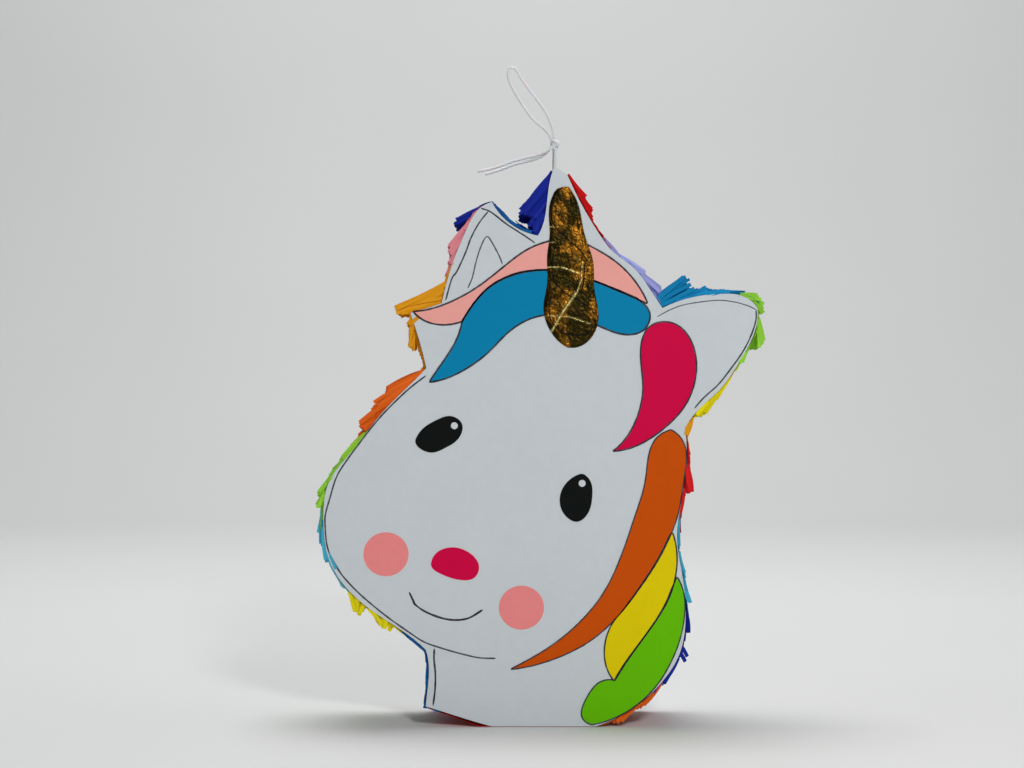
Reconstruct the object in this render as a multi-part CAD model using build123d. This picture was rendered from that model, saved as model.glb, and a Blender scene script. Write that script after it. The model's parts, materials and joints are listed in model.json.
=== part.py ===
"""Unicorn-head pinata: two cardboard panels, a side band between them, paper, foil and crepe fringe.

X runs to the right, Y from front to back and Z up. The origin is the centre of the flat base.
The front panel faces -Y. All sizes are in millimetres.
"""

from build123d import *
import math
import os

# Driving dimensions
HEIGHT = 419.3  # standing face to the tip of the horn
WIDTH = 326.3  # muzzle to the tip of the right ear
DEPTH = 80.0  # over the two cardboard panels
PANEL = 4.0  # board of the two panels
STRIP = 3.0  # board of the side band
PAPER = 0.3  # white paper and the coloured cut-outs
FOIL = 2.2  # foil over its creases
BASE_SHEET = 0.5  # crepe under the flat base
SAG = 3.0  # how far the crepe hangs away under the neck

# Filling hatch in the back panel, hinged along its top edge
HATCH_WIDTH = 110.0
HATCH_HEIGHT = 90.0
HATCH_X = -20.0  # middle of the hatch
HATCH_TOP = 205.0
CUT_GAP = 0.6  # saw-knife gap between flap and panel
TAPE = 0.2
TAPE_REACH = 20.0  # hinge tape on each side of the hinge
TAPE_SIDE = 5.0  # hinge tape past each end of the hinge
TAPE_START = 0.6  # bare fold on each side of the hinge line
TAB_WIDTH = 30.0  # closing tape
TAB_HEIGHT = 24.0
TAB_LIFT = 0.3  # closing tape stands off the paper that it peels from

# Hanging string and the stick that carries it
STRING = 2.2
STICK = 5.0
STICK_SIDE = 4.0  # middle of the stick to the right of the string's hole
STICK_DROP = 20.0  # and below it
HOLE_PLACE = (7.8, 418.0)  # drawn place of the string's hole
SLOT = (7.0, 3.8)  # hole in the top strip, long way front to back
SLOT_DEPTH = 14.0
TURN_GAP = 0.5  # string to stick
KNOT = (4.2, 5.6)  # half its width and half its height
KNOT_PLACE = (0.4, -0.3, 23.6)  # from the string's hole
BEND_SHARE = 0.45  # share of a straight run that the bend at its end may take

# Small round cut-outs
GLINT = 2.6
CHEEK = (16.9, 16.4)

SECTIONS = 8  # sections of a bent strip for each drawn point
SHORTEST_BEND = 15.0  # board shorter than this doesn't bend

# The outlines below are drawn at this size and follow HEIGHT and WIDTH
DRAWN_HEIGHT = 419.3
DRAWN_WIDTH = 326.3
SX = WIDTH / DRAWN_WIDTH
SZ = HEIGHT / DRAWN_HEIGHT
HALF = DEPTH / 2
INNER = HALF - PANEL

# Silhouette as runs from corner to corner, clockwise seen from the front
RUNS = {
    "horn_right": [
        (16.5, 414.5), (25.5, 395.5), (41.5, 368.5), (50, 357.5), (66, 345), (78, 329.5), (88, 314.3),
    ],
    "ear_right_top": [(88, 314.3), (109, 322), (131, 325), (146, 324), (159.5, 314)],
    "ear_right_under": [(159.5, 314), (158.5, 301), (147, 276), (130, 252), (116.5, 239.5), (105, 224)],
    "mane": [
        (105, 224), (106, 201), (103, 173.5), (99, 142.5), (103, 113.5), (105.5, 84), (100.5, 54),
        (87, 33), (62, 11.5), (38, BASE_SHEET / SZ),
    ],
    "base": [(38, BASE_SHEET / SZ), (-40, BASE_SHEET / SZ)],
    "slant": [(-40, BASE_SHEET / SZ), (-56, 5), (-76.5, 11.5), (-89.5, 15.5)],
    "neck": [(-89.5, 15.5), (-87.4, 35), (-87.5, 49.5), (-89.5, 58)],
    "face": [
        (-89.5, 58), (-109, 73.5), (-133.5, 90), (-152, 108), (-162.5, 127), (-166.3, 153),
        (-161.3, 185.5), (-146, 205.5), (-121.5, 236.5), (-100, 258), (-89, 269.3),
    ],
    "forelock_under": [(-89, 269.3), (-94.2, 289.5), (-101, 310.5)],
    "forelock_top": [(-101, 310.5), (-86, 315), (-77.6, 317.8)],
    "ear_left_outer": [(-77.6, 317.8), (-70.5, 344.5), (-59.5, 372), (-48.8, 389.3), (-39.8, 393.8)],
    "ear_left_inner": [(-39.8, 393.8), (-28, 379), (-11.3, 370), (-5.3, 368.6)],
    "horn_left": [(-5.3, 368.6), (-1.5, 377), (2.5, 403), (5.6, 416.6)],
    "horn_tip": [(5.6, 416.6), (7.4, 419.3), (11.3, 418), (16.5, 414.5)],
}

# Strips of board and the runs that each one is bent along
STRIPS = {
    "band_horn_right": ["horn_tip", "horn_right"],
    "band_ear_right": ["ear_right_top", "ear_right_under"],
    "band_mane": ["mane"],
    "band_base": ["base", "slant"],
    "band_neck": ["neck"],
    "band_face": ["face"],
    "band_forelock": ["forelock_under", "forelock_top"],
    "band_ear_left": ["ear_left_outer", "ear_left_inner"],
    "band_horn_left": ["horn_left"],
}

# Cut-paper locks, each as runs from corner to corner. A lock stops at the locks named after it.
LOCKS = {
    "forelock_pink": (
        [
            [
                (-98.6, 311.6), (-73, 317.5), (-41, 337), (-11, 359), (2, 364), (17, 366.5),
                (33, 361), (58, 344.5), (76.5, 318),
            ],
            [
                (76.5, 318), (61.5, 324.5), (37.5, 334.5), (19, 341), (0, 343), (-26, 338.5),
                (-40.5, 331), (-56, 314.5), (-62, 304.5),
            ],
            [(-62, 304.5), (-76.5, 302), (-88, 304), (-98.6, 311.6)],
        ],
        [],
    ),
    "forelock_blue": (
        [
            [(-86.3, 259), (-73.7, 277.7), (-65.5, 292.7), (-62, 304.5)],
            [
                (-62, 304.5), (-55, 315.5), (-39.5, 332), (-25, 339.5), (0, 344), (20, 342),
                (38.5, 335.5), (62.5, 325.5), (76, 315),
            ],
            [
                (76, 315), (78.4, 306), (74, 298), (65, 294.5), (40.5, 301), (17, 308.5), (-4, 308.5),
                (-28, 296), (-43, 281), (-56, 271), (-86.3, 259),
            ],
        ],
        ["forelock_pink"],
    ),
    "sidelock_crimson": (
        [
            [(76, 297.5), (71.9, 283.5), (73.7, 255), (70.4, 235), (51, 207)],
            [
                (51, 207), (64, 209.5), (79, 217), (93, 228), (108, 247.5), (113.3, 272), (108, 292),
                (98, 302), (88, 303.8), (76, 297.5),
            ],
        ],
        ["forelock_blue"],
    ),
    "mane_orange": (
        [
            [
                (94.5, 222.8), (82.5, 215), (75.5, 187), (66.4, 154.5), (53, 118), (35.5, 88.5), (9, 64),
                (-25.5, 43.5),
            ],
            [
                (-25.5, 43.5), (4, 50), (34, 65), (64, 95), (88, 132), (99, 158.5), (104.5, 189.5),
                (103.8, 213), (94.5, 222.8),
            ],
        ],
        [],
    ),
    "mane_yellow": (
        [
            [(95.3, 145.5), (99, 124), (94, 100.5), (77.5, 72), (60, 48), (52, 35)],
            [(52, 35), (46, 47), (47.3, 70.5), (54, 82.5)],
            [(54, 82.5), (73, 109.5), (86, 132), (95.3, 145.5)],
        ],
        ["mane_orange"],
    ),
    "mane_green": (
        [
            [(99, 112), (103.5, 101), (104.2, 82), (98.5, 58), (86, 35), (65, 14.5), (46, 4.5), (35, 1.8)],
            [(35, 1.8), (27.5, 8), (32, 23), (41, 33.5), (52, 35)],
            [(52, 35), (67, 61), (86, 88), (99, 112)],
        ],
        ["mane_yellow"],
    ),
}

# Closed curves of the small cut-outs
BLOBS = {
    "eye_left": [
        (-97, 216), (-92, 223.5), (-81, 230.5), (-70.5, 233.2), (-62.4, 227.5), (-64.5, 217),
        (-75.5, 209), (-87, 206),
    ],
    "eye_right": [
        (26.3, 189.8), (17.3, 184.5), (11.6, 175), (12, 164), (16.8, 157), (24, 154), (31.3, 159),
        (35.4, 173), (32.3, 187),
    ],
    "nose": [
        (-85.5, 123), (-81, 131), (-71, 134.7), (-61, 133), (-49.5, 119.5), (-53, 112), (-63, 110.3),
        (-78, 114.8),
    ],
}
CHEEKS = {"cheek_left": (-119.3, 129.6), "cheek_right": (-17.7, 89.6)}
GLINTS = [(-68, 226), (27.8, 182.8)]
FOIL_RUNS = [
    [(8.8, 403.5), (13, 405), (17.5, 405.5)],
    [(17.5, 405.5), (25.5, 390), (29.8, 369), (36, 349.5), (37, 329), (40, 305), (33, 290), (17.5, 284.3)],
    [(17.5, 284.3), (4, 297), (-1.2, 315), (1.6, 333), (1.5, 353), (3.5, 370), (2.8, 384), (8.8, 403.5)],
]

# Outer edge of each length of fringe, clockwise; the last point or two lie inside the silhouette
FRINGE = {
    "fringe_red_horn": [
        (15, 417.5), (25, 406), (34.8, 392), (34.5, 386), (43.5, 371), (34, 366), (12, 405),
    ],
    "fringe_lilac": [
        (43.5, 371), (55, 359.5), (67, 351.5), (77, 343.5), (87, 329), (84, 314), (60, 330), (34, 366),
    ],
    "fringe_cerulean": [
        (85, 334), (92, 331), (102, 344), (106.3, 337.5), (113, 332), (131, 333), (146, 328.8),
        (143, 312), (84, 308), (78, 322),
    ],
    "fringe_lime_ear": [
        (146, 328.8), (158, 324.5), (166, 315), (164, 303), (165.8, 293), (161, 282), (150, 271), (135, 268),
        (143, 312),
    ],
    "fringe_yellow_nape": [(147, 270.5), (134, 252), (121.5, 239), (116.5, 228.5), (100, 230), (135, 268)],
    "fringe_amber_nape": [(115, 228), (111.5, 221), (108, 214), (95, 213), (100, 230)],
    "fringe_red_mane": [
        (108, 214.5), (108.8, 199), (108, 190), (110.6, 177), (107, 165), (103.6, 155), (92, 156), (95, 213),
    ],
    "fringe_cyan_mane": [
        (103.6, 156), (103.2, 140), (105, 122), (107, 108), (109.8, 94), (95, 92), (92, 156),
    ],
    "fringe_navy_mane": [
        (109.8, 94), (109.3, 80), (107.3, 69), (104.6, 60), (107, 51), (98, 41), (90, 33), (78, 36),
        (95, 92),
    ],
    "fringe_orange_mane": [
        (90, 33), (82, 23.5), (73, 15), (64, 8.5), (56.5, 1.3), (44, 1.1), (36, 8), (78, 36),
    ],
    "fringe_blue_neck": [
        (-93.8, 15), (-92.6, 30), (-91.5, 46), (-95, 55), (-105, 63.5), (-117, 75.5), (-112, 86),
        (-78, 60), (-80, 16),
    ],
    "fringe_yellow_jaw": [
        (-117, 75.5), (-121.5, 74), (-126, 79.5), (-133.5, 84.5), (-140, 84.3), (-146, 91.5), (-149.5, 98),
        (-152.5, 103.5), (-143, 110), (-112, 86),
    ],
    "fringe_teal_muzzle": [(-152.5, 103.5), (-160, 111.5), (-165.3, 121.5), (-152, 127), (-143, 110)],
    "fringe_cyan_muzzle": [
        (-165.3, 121.5), (-169, 136), (-170.3, 150), (-170.3, 165.5), (-157, 165.5), (-152, 127),
    ],
    "fringe_lime_face": [
        (-173, 165.5), (-171.5, 178), (-166.5, 190), (-158, 202), (-148, 216), (-142, 224.5), (-125, 221),
        (-157, 165.5),
    ],
    "fringe_orange_face": [
        (-145, 225), (-141.5, 236), (-130, 246), (-117, 258), (-105, 268), (-93, 276), (-83, 270),
        (-125, 221),
    ],
    "fringe_amber_forelock": [
        (-93, 278), (-99, 283.5), (-107, 291), (-108, 303), (-113, 312), (-110.5, 325), (-100, 334.5),
        (-88, 334.5), (-81.5, 327), (-72, 318), (-72, 305), (-88, 300), (-84, 276),
    ],
    "fringe_amber_ear": [(-80.5, 327), (-82, 338), (-78, 348), (-60, 348), (-68, 324)],
    "fringe_pink_ear": [
        (-85, 334.5), (-82, 348), (-78, 357), (-71, 366), (-61, 381), (-50, 391), (-45, 383), (-60, 348),
        (-76, 340),
    ],
    "fringe_navy_ear": [
        (-48.5, 391.5), (-58, 387.5), (-69.8, 381.5), (-66, 375.5), (-56, 379), (-45, 383),
    ],
    "fringe_blue_ear": [
        (-48.5, 391.7), (-40, 398), (-33, 392.5), (-26, 382.5), (-16, 375.5), (-11, 372), (-12, 364),
        (-45, 383),
    ],
    "fringe_navy_horn": [
        (5.2, 418), (1.9, 416), (-1.5, 411), (-8.5, 403.5), (-20, 386.5), (-12, 382), (-11, 374.5), (-5, 367),
        (3, 372), (9, 412),
    ],
}
UNDER = [(-90.5, 15), (-75, 12.2), (-58, 5.8)]  # crepe under the neck, before its sag
OVER = [(-80, 24), (-40, 20), (38, 20)]  # rest of its outline, inside the silhouette

# Routes of the string from its hole, each turn sharp here and rounded by its radius
LOOP = [
    (-1.2, 0.3, 23.6), (-2.2, 0, 28.8), (-7.4, 0.2, 35.6), (-16.2, 0.6, 42.2), (-23.6, 1.0, 52.6),
    (-30.4, 1.2, 63.6), (-35.2, 1.2, 73.2), (-35.8, 0.9, 82.0), (-30.2, 0.4, 83.0), (-25.6, 0, 74.0),
    (-19.0, -0.4, 65.4), (-12.0, -0.6, 56.2), (-6.0, -0.6, 47.6), (-2.0, -0.2, 38.4), (-0.4, 0.8, 31.5),
    (1.0, 1.5, 24.5),
]
TAIL_FRONT = [
    (-0.2, -1.6, 22.4), (-5.8, -2.4, 18.2), (-13.0, -2.1, 15.0), (-22.0, -1.8, 13.0), (-32.2, -1.6, 10.6),
    (-42.0, -1.2, 6.6), (-53.3, -1.0, 3.4), (-59.0, -1.0, 2.8),
]
TAIL_BACK = [
    (-1.0, 1.7, 23.2), (-6.0, 2.2, 17.4), (-11.0, 2.0, 13.6), (-20.0, 1.6, 11.0), (-32.2, 1.3, 8.1),
    (-42.0, 1.3, 3.8), (-53.3, 1.2, 0.8),
]
RISE_LEFT = [(-0.3, 1.3, 21.0), (-0.5, 1.4, 10.0), (-0.3, 1.4, -4.5)]
RISE_RIGHT = [(0.3, -1.4, -5.0), (0.1, -1.5, 9.6), (0.9, -1.3, 21.0)]


def at(x, z, y=0.0):
    """A drawn point at the size that HEIGHT and WIDTH give."""
    return Vector(x * SX, y, z * SZ)


def edge_of(points):
    """One run of an outline: a smooth curve, or a line between two points."""
    drawn = [at(x, z) for x, z in points]
    if len(drawn) == 2:
        return Line(*drawn)
    return Spline(*drawn)


def slab(face, low, high):
    """A face of the XZ plane given thickness from Y = low to Y = high."""
    return extrude(Pos(0, low, 0) * face, amount=high - low, dir=(0, 1, 0))


def upright(sketch, place):
    """A sketch turned to face the front, with its middle at a place."""
    return Pos(place) * (Plane.XZ * sketch)


def face_of(runs):
    return Face(Wire([edge_of(run) for run in runs]))


def biggest(shape):
    """The main solid of a cut shape."""
    return max(shape.solids(), key=lambda solid: solid.volume)


def strip_face(points):
    """Section of a strip of board that lines a run of the silhouette on its inside."""
    outer = edge_of(points)
    unbent = len(points) == 2 or outer.length < SHORTEST_BEND
    samples = 2 if unbent else SECTIONS * len(points)
    inner = []
    for step in range(samples):
        share = step / (samples - 1)
        along = outer.tangent_at(share)
        inner.append(outer.position_at(share) + Vector(along.Z, 0, -along.X) * STRIP)
    lining = Line(*inner) if unbent else Spline(*inner)
    ends = [Line(outer.position_at(1), inner[-1]), Line(inner[0], outer.position_at(0))]
    return Face(Wire([outer, ends[0], lining, ends[1]]))


def silhouette():
    return face_of(RUNS.values())


def hatch_face(gap):
    """The hatch's rectangle in the XZ plane, smaller by a gap all round."""
    width = HATCH_WIDTH - 2 * gap
    height = HATCH_HEIGHT - 2 * gap
    return upright(Rectangle(width, height), Vector(HATCH_X, 0, HATCH_TOP - HATCH_HEIGHT / 2))


def panels(parts, shape):
    parts["front_panel"] = slab(shape, -HALF, -INNER)
    parts["front_paper"] = slab(shape, -HALF - PAPER, -HALF)
    opened = shape - hatch_face(0)
    parts["back_panel"] = slab(opened, INNER, HALF)
    parts["back_paper"] = slab(opened, HALF, HALF + PAPER)
    flap = hatch_face(CUT_GAP)
    parts["hatch_flap"] = slab(flap, INNER, HALF)
    parts["hatch_paper"] = slab(flap, HALF, HALF + PAPER)


def side_band(parts, shape):
    """Strips of board between the panels, each trimmed by the one before it."""
    room = slab(shape, -INNER, INNER)
    nodes = list(STRIPS)
    for node, runs in STRIPS.items():
        bent = slab(strip_face(RUNS[runs[0]]), -INNER, INNER)
        for run in runs[1:]:
            bent = bent + slab(strip_face(RUNS[run]), -INNER, INNER)
        parts[node] = biggest(bent & room)
    for before, node in zip(nodes, nodes[1:]):
        parts[node] = biggest(parts[node] - parts[before])
    parts[nodes[-1]] = biggest(parts[nodes[-1]] - parts[nodes[0]])
    hole = string_hole()
    opening = extrude(SlotOverall(*SLOT), amount=SLOT_DEPTH, both=True)
    for node in (nodes[0], nodes[-1]):
        parts[node] = biggest(parts[node] - Pos(hole.X, 0, hole.Z) * Rot(0, 0, 90) * opening)


def hatch_tapes(parts):
    width = HATCH_WIDTH + 2 * TAPE_SIDE
    reach = TAPE_REACH - TAPE_START
    rise = TAPE_START + reach / 2
    under = HALF + PAPER
    tape = Pos(HATCH_X, under + TAPE / 2, HATCH_TOP)
    strip = Box(width, TAPE, reach)
    parts["hinge_tape_fixed"] = tape * Pos(0, 0, rise) * strip
    flap_strip = Box(HATCH_WIDTH - 2 * CUT_GAP, TAPE, reach)
    parts["hinge_tape_flap"] = tape * Pos(0, 0, -rise) * flap_strip
    foot = HATCH_TOP - HATCH_HEIGHT + CUT_GAP
    lap = TAB_HEIGHT / 2
    stuck = Pos(HATCH_X, under, foot) * Box(
        TAB_WIDTH, 2 * TAPE, lap, align=(Align.CENTER, Align.MIN, Align.MIN)
    )
    loose = Pos(HATCH_X, under + TAB_LIFT, foot + TAPE_START) * Box(
        TAB_WIDTH, TAPE, lap + TAPE_START, align=(Align.CENTER, Align.MIN, Align.MAX)
    )
    parts["closing_tape"] = stuck + loose


def cut_outs(parts):
    """Coloured paper and foil on the front."""
    low, high = -HALF - 2 * PAPER, -HALF - PAPER
    for name, (runs, over) in LOCKS.items():
        lock = slab(face_of(runs), low, high)
        for other in over:
            lock = lock - parts[other]
        parts[name] = biggest(lock)
    for name, points in BLOBS.items():
        curve = Spline(*[at(x, z) for x, z in points], periodic=True)
        parts[name] = slab(Face(Wire([curve])), low, high)
    for name, (x, z) in CHEEKS.items():
        parts[name] = slab(upright(Ellipse(*CHEEK), at(x, z)), low, high)
    dots = [slab(upright(Circle(GLINT), at(x, z)), low - PAPER, low) for x, z in GLINTS]
    parts["eye_glints"] = Compound(children=dots)
    foil = slab(face_of(FOIL_RUNS), high - FOIL, high)
    for name in LOCKS:
        foil = foil - parts[name]
    parts["horn_foil"] = biggest(foil)


def fringes(parts, shape):
    """Crepe fringe round the side band, over the edges of both panels."""
    laid = slab(shape, -HALF, HALF)
    for name, points in FRINGE.items():
        body = Face(Wire.make_polygon([at(x, z) for x, z in points], close=True))
        piece = biggest(slab(body, -HALF, HALF) - laid)
        laid = laid + piece
        parts[name] = piece


def base_sheet(parts, shape):
    """Red crepe, flat under the base and hanging a little away from the slanted underside."""
    left, right = RUNS["base"][1][0], RUNS["base"][0][0]
    middle = at(*UNDER[1]) - Vector(0, 0, SAG)
    bottom = at(*UNDER[2]) - Vector(0, 0, SAG / 2)
    edge = [at(right, 0), at(left, 0), bottom, middle, at(*UNDER[0])] + [at(x, z) for x, z in OVER]
    body = slab(Face(Wire.make_polygon(edge, close=True)), -HALF, HALF) - slab(shape, -HALF, HALF)
    for name in ("fringe_blue_neck", "fringe_orange_mane"):
        body = body - parts[name]
    parts["base_sheet"] = biggest(body)


def string_hole():
    """Where the string comes out, at the left corner of the horn's top strip."""
    return at(*HOLE_PLACE)


def cord(route):
    """A round string along straight runs, with arcs as large as the two runs allow."""
    points = [string_hole() + Vector(*step) for step in route]
    radii = []
    for before, here, after in zip(points, points[1:], points[2:]):
        turn = (here - before).get_angle(after - here)
        run = min((here - before).length, (after - here).length)
        radii.append(BEND_SHARE * run / math.tan(math.radians(turn / 2)))
    path = FilletPolyline(*points, radius=radii)
    start = Plane(origin=path.position_at(0), z_dir=path.tangent_at(0))
    body = sweep(start * Circle(STRING / 2), path=path)
    section = math.pi * STRING**2 / 4
    print("radii", [round(radius, 1) for radius in radii])
    print("length", round(path.length, 1), "volume", round(body.volume / section / path.length, 3))
    return body


def hanging_string(parts):
    """The string rises from the stick to the knot, which holds the loop and two tails."""
    hole = string_hole()
    axis = Pos(hole.X + STICK_SIDE, 0, hole.Z - STICK_DROP)
    parts["anchor_stick"] = axis * Rot(90, 0, 0) * Cylinder(STICK / 2, 2 * INNER)
    half = STICK / 2 + STRING / 2 + TURN_GAP
    left, right = STICK_SIDE - half, STICK_SIDE + half
    high, low = half - STICK_DROP, -half - STICK_DROP
    turn = RISE_LEFT + [(left, 0, high), (left, 0, low), (right, 0, low), (right, 0, high)] + RISE_RIGHT
    section = Ellipse(*KNOT) & Pos(KNOT[0], 0) * Rectangle(2 * KNOT[0], 2 * KNOT[1])
    knot = Pos(hole + Vector(*KNOT_PLACE)) * revolve(Plane.XZ * section, axis=Axis.Z)
    parts["string_turn"] = biggest(cord(turn) - knot)
    parts["string_loop"] = biggest(cord(LOOP) - knot)
    parts["string_tail_front"] = biggest(cord(TAIL_FRONT) - knot)
    parts["string_tail_back"] = biggest(cord(TAIL_BACK) - knot)
    parts["string_knot"] = knot


def main():
    parts = {}
    shape = silhouette()
    panels(parts, shape)
    side_band(parts, shape)
    hatch_tapes(parts)
    cut_outs(parts)
    fringes(parts, shape)
    base_sheet(parts, shape)
    hanging_string(parts)
    os.makedirs("parts", exist_ok=True)
    for name, piece in parts.items():
        export_step(piece, f"parts/{name}.step")
    print(len(parts), "nodes")


main()
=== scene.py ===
"""Unicorn-head pinata: paper and crepe over a cardboard box body, a foil horn and a cotton string."""

import json
import math
import random

import bmesh
import bpy
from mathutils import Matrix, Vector, noise
from mathutils.bvhtree import BVHTree
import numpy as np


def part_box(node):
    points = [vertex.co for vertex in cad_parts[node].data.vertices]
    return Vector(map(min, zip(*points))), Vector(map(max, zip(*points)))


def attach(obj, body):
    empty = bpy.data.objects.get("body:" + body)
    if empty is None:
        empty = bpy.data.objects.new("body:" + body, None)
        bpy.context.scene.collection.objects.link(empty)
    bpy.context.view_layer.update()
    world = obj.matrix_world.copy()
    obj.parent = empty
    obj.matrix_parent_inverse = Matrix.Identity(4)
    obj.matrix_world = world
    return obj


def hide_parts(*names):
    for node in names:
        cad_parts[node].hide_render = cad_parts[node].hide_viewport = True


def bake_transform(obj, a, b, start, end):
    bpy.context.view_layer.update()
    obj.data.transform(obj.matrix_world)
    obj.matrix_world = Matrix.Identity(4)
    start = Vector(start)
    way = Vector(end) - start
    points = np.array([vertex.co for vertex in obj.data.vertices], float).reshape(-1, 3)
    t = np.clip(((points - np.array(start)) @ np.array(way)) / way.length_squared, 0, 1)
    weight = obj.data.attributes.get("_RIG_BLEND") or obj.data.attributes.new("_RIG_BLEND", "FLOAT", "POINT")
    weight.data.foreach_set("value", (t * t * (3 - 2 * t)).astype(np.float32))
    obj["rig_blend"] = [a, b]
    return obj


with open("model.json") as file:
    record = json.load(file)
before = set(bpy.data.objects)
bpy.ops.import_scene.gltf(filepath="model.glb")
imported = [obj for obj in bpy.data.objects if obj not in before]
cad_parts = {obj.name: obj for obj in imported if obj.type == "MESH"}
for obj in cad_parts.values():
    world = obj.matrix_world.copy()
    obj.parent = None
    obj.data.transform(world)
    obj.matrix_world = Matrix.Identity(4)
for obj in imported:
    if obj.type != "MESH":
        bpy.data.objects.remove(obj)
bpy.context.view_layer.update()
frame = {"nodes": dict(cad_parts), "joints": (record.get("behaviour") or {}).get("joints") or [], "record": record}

MM = 0.001
PAPER_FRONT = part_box("front_paper")[0].y  # outer face of the white paper
LOCK_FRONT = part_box("mane_orange")[0].y  # outer face of the coloured cut-outs
BACK_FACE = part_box("back_paper")[1].y
BAND_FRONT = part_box("front_panel")[0].y
BAND_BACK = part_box("back_panel")[1].y
INK_HEIGHT = 0.05 * MM
CREPE = 0.12 * MM  # thickness of a strand of crepe


# ---------------------------------------------------------------- camera, stage and light


def camera():
    data = bpy.data.cameras.new("camera")
    data.lens = 75
    data.sensor_width = 36
    eye = bpy.data.objects.new("camera", data)
    eye.location = (-0.0248, PAPER_FRONT - 1.6, 0.2573)
    eye.rotation_euler = (math.radians(90), 0, 0)
    bpy.context.scene.collection.objects.link(eye)
    bpy.context.scene.camera = eye


def area_light(name, place, aim, size, watts, colour=(1, 1, 1)):
    data = bpy.data.lights.new(name, "AREA")
    data.shape = "DISK"
    data.size = size
    data.energy = watts
    data.color = colour
    lamp = bpy.data.objects.new(name, data)
    lamp.location = place
    lamp.rotation_euler = (Vector(aim) - Vector(place)).to_track_quat("-Z", "Y").to_euler()
    bpy.context.scene.collection.objects.link(lamp)


def stage():
    """One sheet of pale paper that runs along the floor and sweeps up behind."""
    bm = bmesh.new()
    bmesh.ops.create_grid(bm, x_segments=2, y_segments=120, size=1)
    bend, flat, high = 0.9, 2.2, 2.6  # radius of the sweep, floor behind the origin and height of the wall
    ahead, whole, half_width = 3, 9, 4  # floor in front of the origin, length of the paper and half its width
    for v in bm.verts:
        along = (v.co.y + 1) / 2 * whole
        v.co.x *= half_width
        arc = bend * math.pi / 2
        start = ahead + flat
        if along < start:
            v.co.y, v.co.z = along - ahead, 0
        elif along < start + arc:
            turn = (along - start) / bend
            v.co.y, v.co.z = flat + bend * math.sin(turn), bend * (1 - math.cos(turn))
        else:
            v.co.y, v.co.z = flat + bend, bend + min(along - start - arc, high)
    for face in bm.faces:
        face.smooth = True
    mesh = bpy.data.meshes.new("backdrop")
    bm.to_mesh(mesh)
    bm.free()
    sheet = bpy.data.objects.new("backdrop", mesh)
    bpy.context.scene.collection.objects.link(sheet)
    mesh.materials.append(backdrop_paper())


def lights():
    world = bpy.data.worlds.new("room")
    world.use_nodes = True
    sky = world.node_tree.nodes["Background"]
    sky.inputs["Color"].default_value = (0.93, 0.97, 1.0, 1)
    sky.inputs["Strength"].default_value = 0.17
    bpy.context.scene.world = world
    area_light("key", (0.4, -1.5, 0.95), (0, 0.1, 0.1), 0.26, 11.5)
    area_light("fill", (-0.8, -1.5, 1.2), (0, 0.1, 0.1), 0.5, 0.4)
    area_light("top", (0, 0.6, 2.4), (0, 0.6, 0), 1.6, 17)
    area_light("wall", (0, 0.6, 3.0), (0, 3.0, 0.9), 2.0, 50)
    bpy.context.scene.view_settings.view_transform = "Standard"


# ---------------------------------------------------------------- shader maths


class Val:
    """A socket's value, with arithmetic that adds Math nodes."""

    def __init__(self, finish, socket):
        self.finish = finish
        self.socket = socket

    def math(self, operation, other=None, swap=False):
        pair = [self, other] if other is not None else [self]
        if swap:
            pair.reverse()
        return self.finish.node("ShaderNodeMath", {"operation": operation}, dict(enumerate(pair)))

    def __add__(self, other):
        return self.math("ADD", other)

    def __rsub__(self, other):
        return self.math("SUBTRACT", other, swap=True)

    def __mul__(self, other):
        return self.math("MULTIPLY", other)

    def sine(self):
        return self.math("SINE")

    def step(self, low, high):
        """0 below low, 1 above high and smooth between them."""
        sockets = {"Value": self, "From Min": low, "From Max": high}
        return self.finish.node("ShaderNodeMapRange", {"interpolation_type": "SMOOTHSTEP"}, sockets)


class Finish:
    """A material under construction."""

    def __init__(self, name, roughness=0.8):
        self.material = bpy.data.materials.new(name)
        self.material.use_nodes = True
        self.tree = self.material.node_tree
        self.shader = self.tree.nodes["Principled BSDF"]
        self.shader.inputs["Roughness"].default_value = roughness

    def node(self, kind, settings=None, sockets=None, out=0):
        """Adds a node, sets it up and gives one of its outputs."""
        made = self.tree.nodes.new(kind)
        for key, value in (settings or {}).items():
            setattr(made, key, value)
        for key, value in (sockets or {}).items():
            if isinstance(value, Val):
                self.tree.links.new(value.socket, made.inputs[key])
            else:
                made.inputs[key].default_value = value
        return Val(self, made.outputs[out])

    def place(self):
        return self.node("ShaderNodeTexCoord", out="Object")

    def split(self, where):
        made = self.node("ShaderNodeSeparateXYZ", sockets={0: where}).socket.node
        return [Val(self, made.outputs[axis]) for axis in range(3)]

    def stretch(self, where, scale):
        return self.node("ShaderNodeMapping", sockets={"Vector": where, "Scale": scale})

    def noise(self, where, scale, detail=3.0, rough=0.55, distortion=0.0):
        sockets = {
            "Vector": where, "Scale": scale, "Detail": detail, "Roughness": rough, "Distortion": distortion,
        }
        return self.node("ShaderNodeTexNoise", sockets=sockets)

    def attribute(self, name):
        return self.node("ShaderNodeAttribute", {"attribute_name": name}, out="Fac")

    def mix(self, mask, first, second):
        sockets = {0: mask, 6: first, 7: second}
        return self.node("ShaderNodeMix", {"data_type": "RGBA"}, sockets, out=2)

    def bump(self, height, strength, distance):
        sockets = {"Height": height, "Strength": strength, "Distance": distance}
        self.feed("Normal", self.node("ShaderNodeBump", sockets=sockets, out="Normal"))

    def feed(self, socket, value):
        self.tree.links.new(value.socket, self.shader.inputs[socket])

    def fixed(self, **values):
        for key, value in values.items():
            self.shader.inputs[key.replace("_", " ")].default_value = value


def shade(red, green, blue):
    """A display colour as the linear colour that the shader takes."""
    shares = [c / 255 for c in (red, green, blue)]
    linear = [c / 12.92 if c <= 10 / 255 else ((c + 0.055) / 1.055) ** 2.4 for c in shares]
    return (*linear, 1)


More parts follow.
